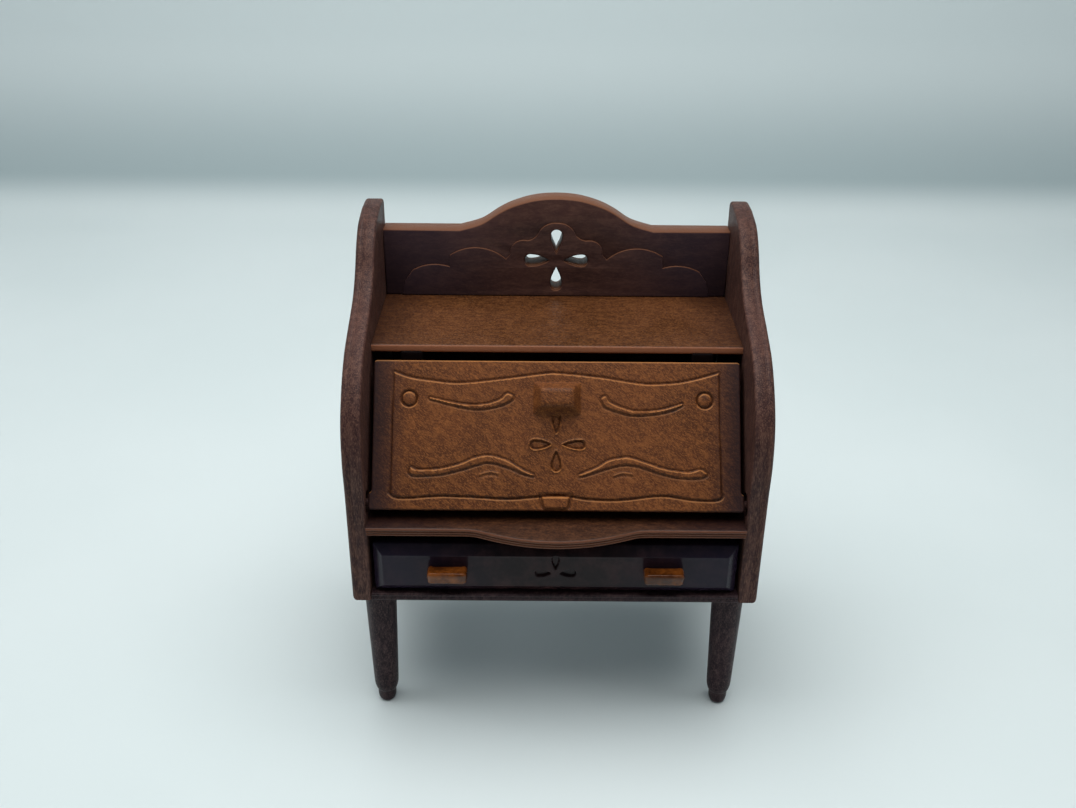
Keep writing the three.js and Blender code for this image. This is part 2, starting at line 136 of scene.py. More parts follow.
def petal(middle, turn, start, end, width, steps=12):
    """A drop-shaped petal: a point near the flower's middle, bowed flanks and a round end."""
    half = width / 2
    bulge = end - half
    along = np.linspace(0, 1, steps + 1)
    flank_x = start + (bulge - start) * along
    flank_y = half * np.sin(0.5 * math.pi * along) ** 0.8
    turns = np.linspace(0.5 * math.pi, -0.5 * math.pi, steps + 1)[1:-1]
    x = np.concatenate([flank_x, bulge + half * np.cos(turns), flank_x[::-1][:-1]])
    y = np.concatenate([flank_y, half * np.sin(turns), -flank_y[::-1][:-1]])
    return np.stack([
        middle[0] + x * math.cos(turn) - y * math.sin(turn),
        middle[1] + x * math.sin(turn) + y * math.cos(turn),
    ], 1)


def inset(outline, distance):
    """The closed outline moved inwards, its corners mitred. It runs anticlockwise."""
    before = outline - np.roll(outline, 1, 0)
    after = np.roll(outline, -1, 0) - outline
    normals = []
    for edge in (before, after):
        edge = edge / np.linalg.norm(edge, axis=1)[:, None]
        normals.append(np.stack([-edge[:, 1], edge[:, 0]], 1))
    middle = normals[0] + normals[1]
    share = np.maximum((middle * normals[0]).sum(1), 0.3)
    return outline + distance * middle / share[:, None]


# ---------------------------------------------------------------- distances, for carving

def line_distance(x, y, points):
    """The distance from each place to an open line of points."""
    nearest = np.full(x.shape, 1e9)
    for (ax, ay), (bx, by) in zip(points[:-1], points[1:]):
        dx, dy = bx - ax, by - ay
        t = np.clip(((x - ax) * dx + (y - ay) * dy) / (dx * dx + dy * dy), 0, 1)
        nearest = np.minimum(nearest, np.hypot(x - ax - t * dx, y - ay - t * dy))
    return nearest


def depth_inside(x, y, outline):
    """How far each place lies inside a closed outline, negative outside it."""
    closed = np.vstack([outline, outline[:1]])
    inside = np.zeros(x.shape, bool)
    for (ax, ay), (bx, by) in zip(closed[:-1], closed[1:]):
        if ay != by:
            crosses = (ay > y) != (by > y)
            inside ^= crosses & (x < (bx - ax) * (y - ay) / (by - ay) + ax)
    distance = line_distance(x, y, closed)
    return np.where(inside, distance, -distance)


def smooth_step(value, low, high):
    """Eases from 0 at low to 1 at high."""
    t = np.clip((value - low) / (high - low), 0, 1)
    return t * t * (3 - 2 * t)


def rounded_edge(distance, radius):
    """How far a rounded arris falls below the face, at a distance inside the outline."""
    d = np.clip(distance, 0, radius)
    return radius - np.sqrt(np.maximum(radius ** 2 - (radius - d) ** 2, 0))


def soft_line(distance, half_width):
    """1 on a line, falling away smoothly on both sides of it."""
    return np.exp(-(distance / half_width) ** 2)


# ---------------------------------------------------------------- meshes

def grid_faces(rows, columns, closed=False):
    """Quads between neighbouring rows of vertices."""
    count = columns if closed else columns - 1
    r, c = np.meshgrid(np.arange(rows - 1), np.arange(count), indexing="ij")
    after = (c + 1) % columns
    this_row, next_row = r * columns, (r + 1) * columns
    faces = [this_row + c, this_row + after, next_row + after, next_row + c]
    return np.stack(faces, -1).reshape(-1, 4).tolist()


def rings_mesh(rings, caps=True):
    """A closed body through equal rings of vertices."""
    count = len(rings[0])
    vertices = np.vstack(rings)
    faces = grid_faces(len(rings), count, True)
    if caps:
        last = (len(rings) - 1) * count
        faces += [list(range(count))[::-1], [last + i for i in range(count)]]
    return vertices, faces


def joined(*meshes):
    """Several meshes as one."""
    vertices, faces = [], []
    offset = 0
    for points, polygons in meshes:
        vertices.append(np.asarray(points, float))
        faces += [[offset + i for i in polygon] for polygon in polygons]
        offset += len(points)
    return np.vstack(vertices), faces


def make_piece(name, mesh, body, slot, nodes, sharp=SHARP_ANGLE, look=None):
    """A mesh in millimetres becomes a piece that rides on a body and stands for CAD nodes."""
    vertices, faces = mesh
    data = bpy.data.meshes.new(name)
    data.from_pydata((np.asarray(vertices, float) * MM).tolist(), [], faces)
    work = bmesh.new()
    work.from_mesh(data)
    bmesh.ops.remove_doubles(work, verts=work.verts, dist=2e-7)
    bmesh.ops.recalc_face_normals(work, faces=work.faces)
    work.to_mesh(data)
    work.free()
    return place_piece(name, data, body, slot, nodes, sharp, look)


def place_piece(name, data, body, slot, nodes, sharp, look=None):
    """Places a piece; look names its material where that isn't the slot's own."""
    data.materials.clear()
    data.materials.append(MATERIALS[look or slot])
    data.shade_smooth()
    data.set_sharp_from_angle(angle=math.radians(sharp))
    piece = bpy.data.objects.new(name, data)
    bpy.context.scene.collection.objects.link(piece)
    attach(piece, body)
    if nodes:
        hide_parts(*nodes)
    return piece


def evaluated_mesh(source):
    """An object's mesh with its modifiers or its curves worked out."""
    bpy.context.view_layer.update()
    graph = bpy.context.evaluated_depsgraph_get()
    return bpy.data.meshes.new_from_object(source.evaluated_get(graph))


def refined_copy(node, name, body, slot, bevel=0.0):
    """A CAD node's own shape with its facets merged, and its arrises softened."""
    data = bpy.data.meshes.new(name)
    work = bmesh.new()
    work.from_mesh(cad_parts[node].data)
    bmesh.ops.remove_doubles(work, verts=work.verts, dist=1e-6)
    bmesh.ops.dissolve_limit(work, angle_limit=math.radians(0.5), verts=work.verts, edges=work.edges)
    if bevel:
        edges = [e for e in work.edges if e.calc_face_angle(0) > 0.6]
        bmesh.ops.bevel(work, geom=edges, offset=bevel * MM, segments=3, profile=0.5, affect="EDGES")
    work.to_mesh(data)
    work.free()
    return place_piece(name, data, body, slot, [node], SHARP_ANGLE)


# ---------------------------------------------------------------- materials

def value_node(nodes, links, kind, inputs, **settings):
    """A new node with its settings made, and each input linked or set to a value."""
    node = nodes.new(kind)
    for key, value in settings.items():
        setattr(node, key, value)
    for key, value in inputs.items():
        if isinstance(value, bpy.types.NodeSocket):
            links.new(value, node.inputs[key])
        else:
            node.inputs[key].default_value = value
    return node


class Look:
    """Builds a material's nodes around its Principled shader."""

    def __init__(self, name):
        self.material = bpy.data.materials.new(name)
        self.material.use_nodes = True
        self.nodes = self.material.node_tree.nodes
        self.links = self.material.node_tree.links
        self.shader = self.nodes["Principled BSDF"]
        coordinates = self.add("ShaderNodeTexCoord", {})
        self.place = coordinates.outputs["Object"]
        self.facing = coordinates.outputs["Normal"]

    def add(self, kind, inputs, **settings):
        return value_node(self.nodes, self.links, kind, inputs, **settings)

    def stretched(self, scale, turn=(0, 0, 0)):
        """The place in millimetres, scaled along each axis."""
        turned = self.add("ShaderNodeMapping", {"Vector": self.place, "Rotation": turn})
        inputs = {"Vector": turned.outputs[0], "Scale": [s / MM for s in scale]}
        return self.add("ShaderNodeMapping", inputs).outputs[0]

    def noise(self, scale, detail, roughness, distortion=0.0, turn=(0, 0, 0)):
        """Noise with a scale per millimetre, the same along every axis or one for each."""
        scale = (scale,) * 3 if isinstance(scale, (int, float)) else scale
        inputs = {
            "Vector": self.stretched(scale, turn), "Scale": 1.0, "Detail": detail,
            "Roughness": roughness, "Distortion": distortion,
        }
        return self.add("ShaderNodeTexNoise", inputs, normalize=True).outputs[0]

    def span(self, value, low, high, to_low=0.0, to_high=1.0):
        """Eases a value that runs from low to high into one that runs from to_low to to_high."""
        inputs = {0: value, 1: low, 2: high, 3: to_low, 4: to_high}
        node = self.add("ShaderNodeMapRange", inputs, interpolation_type="SMOOTHSTEP", clamp=True)
        return node.outputs[0]

    def math(self, operation, first, second=0.0):
        return self.add("ShaderNodeMath", {0: first, 1: second}, operation=operation).outputs[0]

    def mix(self, share, first, second):
        """A share of the second colour laid over the first."""
        node = self.nodes.new("ShaderNodeMix")
        node.data_type = "RGBA"
        sockets = (node.inputs[0], node.inputs[6], node.inputs[7])
        for socket, value in zip(sockets, (share, first, second)):
            if isinstance(value, bpy.types.NodeSocket):
                self.links.new(value, socket)
            elif socket == node.inputs[0]:
                socket.default_value = value
            else:
                socket.default_value = (*value, 1)
        return node.outputs[2]

    def finish(self, colour, roughness, height, distance, **constants):
        """Ties colour, roughness and a bump of a distance in millimetres to the shader."""
        self.links.new(colour, self.shader.inputs["Base Color"])
        self.links.new(roughness, self.shader.inputs["Roughness"])
        inputs = {"Height": height, "Distance": distance * MM, "Strength": 1.0}
        bump = self.add("ShaderNodeBump", inputs)
        self.links.new(bump.outputs[0], self.shader.inputs["Normal"])
        for key, value in constants.items():
            self.shader.inputs[key.replace("_", " ")].default_value = value
        return self.material


def linear(colour):
    """A colour given as 0 to 255 on the screen, as the shader takes it."""
    shares = [c / 255 for c in colour]
    return tuple(s / 12.92 if s <= 0.04045 else ((s + 0.055) / 1.055) ** 2.4 for s in shares)


def ends_shaded(look, colour, shade):
    """Turns the colour into the shade's tone towards the left and right ends: painted shade, and on
    the glossy drawer a painted bluish reflection.
    """
    start, end, deep, tone = shade
    away = look.math("ABSOLUTE", look.add("ShaderNodeSeparateXYZ", {0: look.place}).outputs[0])
    return look.mix(look.span(away, start * MM, end * MM, 0, deep), colour, linear(tone))


def painted_edge_light_and_shade(look, colour, pale, deep):
    """Paints a highlight on the relief's upward-facing edges, and painted shade in its hollows and
    on its lower edges.
    """
    edge = look.add("ShaderNodeNewGeometry", {}).outputs["Pointiness"]
    upward = look.add("ShaderNodeSeparateXYZ", {0: look.facing}).outputs[2]
    raised, faces_up = look.span(edge, 0.497, 0.53), look.span(upward, 0.6, 0.78, 0, 0.42)
    hollow, faces_down = look.span(edge, 0.49, 0.44, 0, 0.42), look.span(upward, 0.52, 0.3, 0, 0.32)
    colour = look.mix(look.math("MAXIMUM", hollow, faces_down), colour, linear(deep))
    return look.mix(look.math("MULTIPLY", raised, faces_up), colour, linear(pale))


def faces_painted_light(look, colour, facing):
    """Painted light: turns the colour into a lighter tone on faces that look one way along an axis."""
    axis, sign, share, tone = facing
    along = look.add("ShaderNodeSeparateXYZ", {0: look.facing}).outputs[axis]
    towards = look.math("MULTIPLY", along, sign)
    return look.mix(look.span(towards, 0.25, 0.8, 0, share), colour, linear(tone))


def moulded_plastic(name, dark, base, light, flow, rough, stipple, speckle, turn=(0, 0, 0),
                    shade=None, facing=None, edge_light_and_shade=None, **constants):
    """Wood-look plastic: flow lines, a faint cloud, fine strokes of a lighter and a darker tone,
    and a stipple. shade says between which half widths the painted shade turns the tone into
    another one towards the ends, how far, and that tone. facing gives an axis, a sign, a share and
    the tone of the painted light on the faces that look that way. edge_light_and_shade gives the
    tones of the painted highlight on the relief's upward edges and of the painted shade in its
    hollows and on its lower edges."""
    look = Look(name)
    cloud = look.noise(0.09, 4, 0.55)
    streaks = look.noise(flow, 5, 0.6, 0.3, turn)
    fine = look.noise(tuple(4.6 * f for f in flow), 3, 0.65, 0.2, turn)
    grain = look.noise(tuple(3.2 + f for f in flow), 3, 0.7, 0.0, turn)
    colour = look.mix(look.span(cloud, 0.25, 0.75, 0.35, 1.0), linear(dark), linear(base))
    colour = look.mix(look.span(streaks, 0.4, 0.7, 0, 0.35), colour, linear(light))
    colour = look.mix(look.span(fine, 0.5, 0.64, 0, speckle), colour, linear(light))
    colour = look.mix(look.span(fine, 0.47, 0.34, 0, speckle), colour, linear(dark))
    colour = look.mix(look.span(grain, 0.54, 0.7, 0, 0.6 * speckle), colour, linear(light))
    if shade:
        colour = ends_shaded(look, colour, shade)
    if facing:
        colour = faces_painted_light(look, colour, facing)
    if edge_light_and_shade:
        colour = painted_edge_light_and_shade(look, colour, *edge_light_and_shade)
    low, high = rough
    clouded = look.span(cloud, 0.3, 0.7, low, high)
    uneven = look.math("ADD", clouded, look.span(grain, 0.35, 0.7, -0.05, 0.08))
    bumps = look.math("ADD", fine, look.math("MULTIPLY", grain, 0.8))
    bumps = look.math("ADD", bumps, look.math("MULTIPLY", look.noise(0.4, 2, 0.5), 1.2))
    return look.finish(colour, uneven, bumps, stipple, **constants)


def glossy_plastic(name, base, light, rough, ripple, ripple_scale, shade=None, **constants):
    """Polished plastic with faint clouding, fine flecks and a slow ripple."""
    look = Look(name)
    mottle = look.noise(0.3, 5, 0.6)
    grain = look.noise((2.2, 2.2, 5.0), 5, 0.7)
    colour = look.mix(look.span(mottle, 0.35, 0.7), linear(base), linear(light))
    colour = look.mix(look.span(grain, 0.55, 0.75, 0, 0.35), colour, linear(light))
    if shade:
        colour = ends_shaded(look, colour, shade)
    low, high = rough
    clouded = look.span(mottle, 0.3, 0.7, low, high)
    uneven = look.math("ADD", clouded, look.span(grain, 0.45, 0.75, 0, 0.08))
    flecks = look.math("MULTIPLY", grain, 0.12)
    bumps = look.math("ADD", look.noise(ripple_scale, 3, 0.5), flecks)
    return look.finish(colour, uneven, bumps, ripple, **constants)


def paper_with_painted_shade(name, colour, light, shade_band_tone):
    """Paper in painted shade just above the floor, and paled again higher up by painted light."""
    look = Look(name)
    cloud = look.noise(0.01, 3, 0.5)
    tone = look.mix(look.span(cloud, 0.3, 0.7), linear(colour), linear(light))
    height = look.add("ShaderNodeSeparateXYZ", {0: look.place}).outputs[2]
    tone = look.mix(look.span(height, 0.0, 0.011), tone, linear(shade_band_tone))
    tone = look.mix(look.span(height, 0.006, 0.06, 0, 0.75), tone, linear(light))
    return look.finish(tone, look.span(cloud, 0.3, 0.7, 0.75, 0.85), look.noise(1.5, 2, 0.5), 0.01)


def drop_front_plastic(name, edge_light_and_shade=None):
    """The drop front's plastic, its flow lines slanting and its ends darkened by painted shade."""
    return moulded_plastic(
        name, (50, 26, 13), (96, 52, 24), (160, 98, 50), (0.45, 1.1, 0.8), (0.46, 0.6), 0.03, 0.5,
        (-0.974, 0, 0.65), shade=(26, 34, 0.85, (33, 23, 30)), edge_light_and_shade=edge_light_and_shade, Specular_IOR_Level=0.2)


def make_materials():
    """Each look by its name."""
    return {
        "side_plastic": moulded_plastic(
            "side_plastic", (38, 24, 26), (68, 44, 41), (128, 92, 78), (1.1, 1.1, 0.22),
            (0.42, 0.54), 0.04, 0.45, Specular_IOR_Level=0.14),
        # Painted shade towards the ends and painted light on the upward faces.
        "gallery_plastic": moulded_plastic(
            "gallery_plastic", (52, 35, 34), (82, 55, 50), (112, 80, 68), (0.25, 0.8, 0.8),
            (0.34, 0.46), 0.02, 0.2, shade=(5, 30, 0.6, (46, 41, 54)),
            facing=(2, 1, 0.7, (118, 74, 46)), Specular_IOR_Level=0.12),
        # Painted shade towards the ends and a painted highlight on the front-facing nose.
        "shelf_plastic": moulded_plastic(
            "shelf_plastic", (42, 22, 12), (78, 43, 21), (128, 82, 46), (0.5, 1.3, 1.3),
            (0.34, 0.48), 0.03, 0.6, shade=(22, 36, 0.45, (38, 24, 26)),
            facing=(1, -1, 0.6, (164, 104, 74)), Specular_IOR_Level=0.2),
        # A darker copy of the shelf's plastic as painted shade, with a painted highlight on its lip.
        "lower_shelf_shaded_plastic": moulded_plastic(
            "lower_shelf_shaded_plastic", (24, 13, 12), (53, 30, 19), (106, 68, 44), (0.5, 1.3, 1.3),
            (0.32, 0.44), 0.03, 0.45, shade=(10, 34, 0.6, (26, 16, 24)),
            facing=(1, -1, 0.55, (126, 78, 56)), Specular_IOR_Level=0.2),
        # Near black: painted shade for the blocks in the shadow under the top shelf.
        "stop_painted_shade": moulded_plastic(
            "stop_painted_shade", (8, 5, 7), (14, 9, 11), (24, 16, 16), (0.5, 0.5, 0.5),
            (0.6, 0.7), 0.02, 0.3, Specular_IOR_Level=0.05),
        "leg_plastic": moulded_plastic(
            "leg_plastic", (23, 13, 18), (39, 25, 31), (100, 78, 77), (1.2, 1.2, 0.5),
            (0.36, 0.48), 0.03, 0.42, Specular_IOR_Level=0.13),
        # Painted highlight on the carving's upward edges, painted shade in its hollows and below.
        "flap_plastic": drop_front_plastic("flap_plastic", edge_light_and_shade=((206, 138, 72), (26, 14, 14))),
        "pull_plastic": drop_front_plastic("pull_plastic"),
        # Bluish towards the ends: a painted reflection.
        "drawer_plastic": glossy_plastic(
            "drawer_plastic", (28, 17, 20), (50, 31, 32), (0.14, 0.22), 0.025, 0.35,
            shade=(6, 32, 0.6, (33, 30, 48)), Specular_IOR_Level=0.19),
        "handle_plastic": glossy_plastic(
            "handle_plastic", (66, 32, 9), (128, 70, 25), (0.07, 0.13), 0.16, 0.8,
            Specular_IOR_Level=0.26),
    }


# ---------------------------------------------------------------- pieces of the carcase

def side_outline():
    """Anticlockwise as seen from +X with y to the right: bottom, back, top and the shaped front."""
    top, back = SIDE["top"], SIDE["back_round"]
    corner = arc((BACK_Y - back, top - back), back, 0, 90, 8)
    front = spline([*SIDE_PROFILE], 8)[::-1]
    points = [(SIDE["front"], SIDE["bottom"]), (BACK_Y, SIDE["bottom"]), *corner, *front.tolist()]
    return np.array(points)


def side_mesh(mirror):
    """A side panel: rings across its thickness, with rounded arrises and two faint parting lines."""
    outline = side_outline()
    inner, outer = INNER_X, WIDTH / 2
    near, far = SIDE["inner_round"], SIDE["outer_round"]
    quarter = np.radians(np.linspace(0, 90, 7))
    stations = [(inner, near + SIDE["rim"])]
    stations += [(inner + near * (1 - math.cos(t)), near * (1 - math.sin(t))) for t in quarter]
    half = PARTING["half_width"]
    for place in PARTING["places"]:
        x = inner + place * (outer - inner)
        stations += [(x - half, 0), (x, PARTING["depth"]), (x + half, 0)]
    stations += [(outer - far * (1 - math.sin(t)), far * (1 - math.cos(t))) for t in quarter]
    stations += [(outer, far + SIDE["rim"])]
    rings = []
    for x, distance in stations:
        ring = inset(outline, distance)
        rings.append(np.column_stack([np.full(len(ring), mirror * x), ring]))
    return rings_mesh(rings)


def make_sides():
    for name, mirror in (("side_panel_right", 1), ("side_panel_left", -1)):
        piece = make_piece("moulded_" + name, side_mesh(mirror), "carcase", "side_plastic", [name])
        cut_recess(piece, mirror)


def pivot_place():
    """Where the drop front's pivot lies, (y, z)."""
    rise = (math.sin(FLAP_LEAN), math.cos(FLAP_LEAN))
    y = FLAP_FOOT[0] + PIVOT["up"] * rise[0] + PIVOT["depth"] * rise[1]
    z = FLAP_FOOT[1] + PIVOT["up"] * rise[1] - PIVOT["depth"] * rise[0]
    return y, z


def pivot_ring(x, radius, segments):
    """A ring about the pivot's line, at x."""
    y, z = pivot_place()
    turns = np.linspace(0, 2 * math.pi, segments, endpoint=False)
    level = np.full(segments, x)
    return np.column_stack([level, y + radius * np.cos(turns), z + radius * np.sin(turns)])


def cut_recess(piece, mirror):
    """Cuts the shallow round recess for the drop front's lug, with its pivot hole."""
    wide, deep = PIVOT_RECESS["radius"], PIVOT_RECESS["depth"]
    mouth = wide + PIVOT_RECESS["arris"]
    hole = PIVOT["radius"] + PIVOT_HOLE["gap"]
    profile = [
        (mouth, -1), (mouth, 0.0), (wide, PIVOT_RECESS["arris_depth"]), (wide, deep),
        (hole, deep), (hole, PIVOT_HOLE["depth"]),
    ]
    rings = [pivot_ring(mirror * (INNER_X + depth), radius, 48) for radius, depth in profile]
    vertices, faces = rings_mesh(rings)
    data = bpy.data.meshes.new("recess")
    data.from_pydata((vertices * MM).tolist(), [], faces)
    work = bmesh.new()
    work.from_mesh(data)
    bmesh.ops.recalc_face_normals(work, faces=work.faces)
    work.to_mesh(data)
    work.free()
    cutter = bpy.data.objects.new("recess", data)
    bpy.context.scene.collection.objects.link(cutter)
    modifier = piece.modifiers.new("recess", "BOOLEAN")
    modifier.operation = "DIFFERENCE"
    modifier.solver = "EXACT"
    modifier.object = cutter
    cut = evaluated_mesh(piece)
    piece.modifiers.clear()
    piece.data = cut
    cut.shade_smooth()
    cut.set_sharp_from_angle(angle=math.radians(SHARP_ANGLE))
    bpy.data.objects.remove(cutter)


def relief_contour():
    """The upper edge of the gallery's raised carving, from the middle out to the right end."""
    lobes = [
        arc_through((0, 88.72), (2.1, 88.25), (3.4, 87.05)),
        arc_through((3.4, 87.05), (4.25, 85.75), (5.9, 85.04)),
        arc_through((5.9, 85.04), (8.4, 84.4), (9.2, 82.1)),
        arc_through((10.1, 81.1), (16.0, 83.5), (21.3, 81.85)),
        arc_through((21.4, 79.4), (25.4, 79.82), (28.9, 78.6)),
    ]
    foot = [(30.4, 76.4), (31.2, TOP_SHELF["top"] + 0.1)]
    return [point for lobe in lobes for point in lobe] + foot


def curve_plate(name, outlines, depth, bevel):
    """A flat plate with holes and a rounded front arris, as vertices and faces in millimetres."""
    data = bpy.data.curves.new(name, "CURVE")
    data.dimensions = "2D"
    data.fill_mode = "BOTH"
    data.extrude = max(depth / 2 - bevel, 0)
    data.bevel_depth = bevel
    data.bevel_resolution = 2
    data.offset = -bevel
    for outline in outlines:
        line = data.splines.new("POLY")
        line.points.add(len(outline) - 1)
        line.points.foreach_set("co", [v for x, y in outline for v in (x, y, 0, 1)])
        line.use_cyclic_u = True
    source = bpy.data.objects.new(name, data)
    bpy.context.scene.collection.objects.link(source)
    mesh = evaluated_mesh(source)
    vertices = np.array([v.co for v in mesh.vertices])
    faces = [list(p.vertices) for p in mesh.polygons]
    bpy.data.objects.remove(source)
    bpy.data.meshes.remove(mesh)
    bpy.data.curves.remove(data)
    return vertices, faces


def make_gallery():
    """The gallery board, and the raised carving on its face with the flower's holes through it."""
    refined_copy("gallery", "moulded_gallery", "carcase", "gallery_plastic")
    right = relief_contour()
    left = [(-x, z) for x, z in right[1:]]
    outline = [*left[::-1], *right]
    start = GALLERY_PETAL["start"] - PETAL_RIM
    end = GALLERY_PETAL["end"] + PETAL_RIM
    width = GALLERY_PETAL["width"] + 2 * PETAL_RIM
    turns = [turn * math.pi / 2 for turn in range(4)]
    holes = [petal((0, FLOWER_Z), turn, start, end, width).tolist() for turn in turns]
    vertices, faces = curve_plate("relief", [outline, *holes], 2 * GALLERY_RELIEF, RELIEF_ROUND)
    x, up, out = vertices.T
    stood = np.column_stack([x, GALLERY_FACE_Y - out, up])
    make_piece("gallery_carving", (stood, faces), "carcase", "gallery_plastic", [])


def across(section, half_length, stations=2, forward=None):
    """A section in y and z drawn out along X. forward says how far its points in front of y = 0
    swell at each x."""
    points = np.array(section, float)
    rings = []
    for x in np.linspace(-half_length, half_length, stations):
        ring = np.column_stack([np.full(len(points), x), points])
        if forward:
            ring[:, 1] -= forward(x) * (ring[:, 1] < 0)
        rings.append(ring)
    return rings_mesh(rings)


def make_top_shelf():
    """The top shelf, and the two blocks under it that the drop front shuts against, painted near
    black as shade.
    """
    top = TOP_SHELF["top"]
    low = top - TOP_SHELF["thickness"]
    nose = TOP_SHELF["nose"]
    section = [
        (BACK_Y, top), (nose + 1.2, top), *arc((nose + 0.45, top - 0.42), 0.42, 90, 160, 6),
        *arc((nose + 0.45, low + 0.4), 0.45, 180, 260, 6), (BACK_Y, low),
    ]
    mesh = across(section, INNER_X - JOINT_GAP)
    make_piece("moulded_top_shelf", mesh, "carcase", "shelf_plastic", ["top_shelf"], 30)
    size = (STOP["width"], STOP["thickness"], low + STOP["overlap"] - STOP["low"])
    for hand, sign in (("left", -1), ("right", 1)):
        points, faces = rounded_block(size, STOP["round"], 5)
        points += (sign * STOP["x"], STOP["y"] + size[1] / 2, STOP["low"] + size[2] / 2)
        block = (points, faces)
        make_piece("flap_stop_" + hand, block, "carcase", "shelf_plastic", [], 60, "stop_painted_shade")


def bow(x):
    """How far the lower shelf's lip swells forward at x: an arch that eases into straight ends."""
    arch = 1 - (x / BOW_HALF_LENGTH) ** 2
    ease = 0.02
    crown = (1 + math.sqrt(1 + ease)) / 2
    return (BACK_Y + LOWER_SHELF["lip"]) * (arch + math.sqrt(arch * arch + ease)) / 2 / crown


def make_lower_shelf():
    """The shelf above the drawer, its bowed lip drawn as three beads."""
    top, lip = LOWER_SHELF["top"], LOWER_SHELF["lip"]
    groove, line, low = LIP_BEADS["groove"], LIP_BEADS["line"], LIP_BEADS["low"]
    upper, middle, lower = (top - groove) / 2, (groove - line) / 2, (line - low) / 2
    sunk = lip + LIP_BEADS["deep"]
    back_of_lip = lip + LOWER_SHELF["lip_depth"]
    underside = top - LOWER_SHELF["thickness"]
    section = [
        (BOARDS_BACK_Y, top), (lip + 3.0, top), (lip + 1.2, top),
        *arc((lip + upper, top - upper), upper, 90, 230, 12), (sunk, groove),
        *arc((lip + 0.16 + middle, line + middle), middle, 125, 235, 8), (sunk, line),
        *arc((lip + 0.2 + lower, low + lower), lower, 120, 270, 8),
        (back_of_lip, low), (back_of_lip, underside), (BOARDS_BACK_Y, underside),
    ]
    mesh = across(section, INNER_X - JOINT_GAP, 161, bow)
    make_piece("moulded_lower_shelf", mesh, "carcase", "shelf_plastic", ["lower_shelf"], 30,
               "lower_shelf_shaded_plastic")


def make_rail():
    """The bottom board, with a bead and a groove along the top of its front edge."""
    low, top, face, bead = RAIL["low"], RAIL["top"], RAIL["face"], RAIL["bead"]
    section = [
        (BOARDS_BACK_Y, top), (face + 0.6, top), *arc((face, top - bead), bead, 90, 250, 12),
        (face + 0.05, top - 2.1 * bead), (face, top - 2.5 * bead),
        *arc((face + 0.3, low + 0.3), 0.3, 180, 270, 5), (BOARDS_BACK_Y, low),
    ]
    mesh = across(section, INNER_X - JOINT_GAP, 3)
    make_piece("moulded_bottom_board", mesh, "carcase", "gallery_plastic", ["bottom_board"],
               look="leg_plastic")


def turned(profile, x, y, segments=72):
    """A body turned about the upright line at x and y."""
    turns = np.linspace(0, 2 * math.pi, segments, endpoint=False)
    rings = []
    for radius, z in profile:
        ring = [x + radius * np.cos(turns), y + radius * np.sin(turns), np.full(segments, z)]
        rings.append(np.column_stack(ring))
    return rings_mesh(rings, caps=False)


def make_legs():
    for place in ("front", "back"):
        for hand, sign in (("left", -1), ("right", 1)):
            node = f"leg_{place}_{hand}"
            mesh = turned(LEG_PROFILE, sign * LEG["x"], LEG[place])
            make_piece("turned_" + node, mesh, "carcase", "leg_plastic", [node], 50)


# ---------------------------------------------------------------- the drop front

def swoosh(top, bottom):
    """A closed leaf from its upper and lower curves, both drawn from the same end."""
    return np.vstack([spline(top, 5), spline(bottom, 5)[::-1]])


def carving_field():
    """The closed line round the drop front's slightly raised field."""
    top = spline([
        (-29.9, 11.2), (-27, 10.2), (-23.4, 9.66), (-17.9, 9.2), (-10.5, 9.95), (-2.2, 11.04),
        (0.5, 11.1), (7.9, 10.4), (15.2, 9.32), (18.9, 9.26), (22.6, 9.57), (26.3, 10.4),
        (29.7, 11.4),
    ], 6)
    low = spline([
        (29.85, -10.6), (28.8, -11.65), (24.3, -11.6), (18.8, -10.9), (11.6, -11.69), (6.1, -11.64),
        (2.8, -11.2), (0, -11), (-3.7, -11.26), (-8.8, -11.66), (-14.8, -11.35), (-21, -11.2),
        (-26.6, -11.62), (-28.9, -11.46), (-30.1, -10.6),
    ], 6)
    return np.vstack([low[::-1], top[::-1]])


def carving_leaves():
    """Raised leaves: two swags under the top line and two waves above the low one."""
    return [
        swoosh(
            [(-23.3, 6.5), (-19.6, 5.7), (-16, 5.2), (-12.8, 5.42), (-10.3, 6.3), (-9.2, 7.3),
             (-8.3, 7.1)],
            [(-23.3, 6.35), (-17.8, 4.95), (-14.1, 4.55), (-10.5, 5.2), (-8.9, 5.9), (-8.1, 6.5),
             (-8.2, 7.0)]),
        swoosh(
            [(8.1, 6.5), (8.9, 6.95), (9.8, 5.75), (13, 4.5), (15.2, 4.2), (18.9, 4.5), (22.9, 5.6)],
            [(8.15, 6.1), (8.6, 5.3), (9.7, 4.7), (13.4, 3.7), (17, 3.75), (20.7, 4.45),
             (22.9, 5.45)]),
        swoosh(
            [(-26.6, -6.3), (-25.2, -6.8), (-21.3, -6.58), (-17.6, -5.64), (-14.9, -4.5),
             (-12.2, -4.1), (-9.1, -4.94), (-6.3, -6.56), (-4.3, -7.5)],
            [(-26.8, -7.2), (-25.8, -7.7), (-21.2, -7.45), (-17.6, -6.6), (-14, -5.5),
             (-12.2, -5.2), (-8.5, -6.2), (-6.2, -7.2), (-4.3, -7.7)]),
        swoosh(
            [(4.1, -7.5), (7.4, -6.1), (9.4, -4.88), (11.6, -4.41), (13.4, -4.34), (17, -5.46),
             (19.8, -6.35), (23.9, -6.9), (26.1, -6.4), (27.3, -7.0)],
            [(4.2, -7.7), (6.1, -7.2), (9.7, -6.0), (12.5, -5.45), (15.2, -5.8), (18.8, -7.0),
             (22.5, -7.75), (26.1, -7.8), (27.3, -7.3)]),
    ]


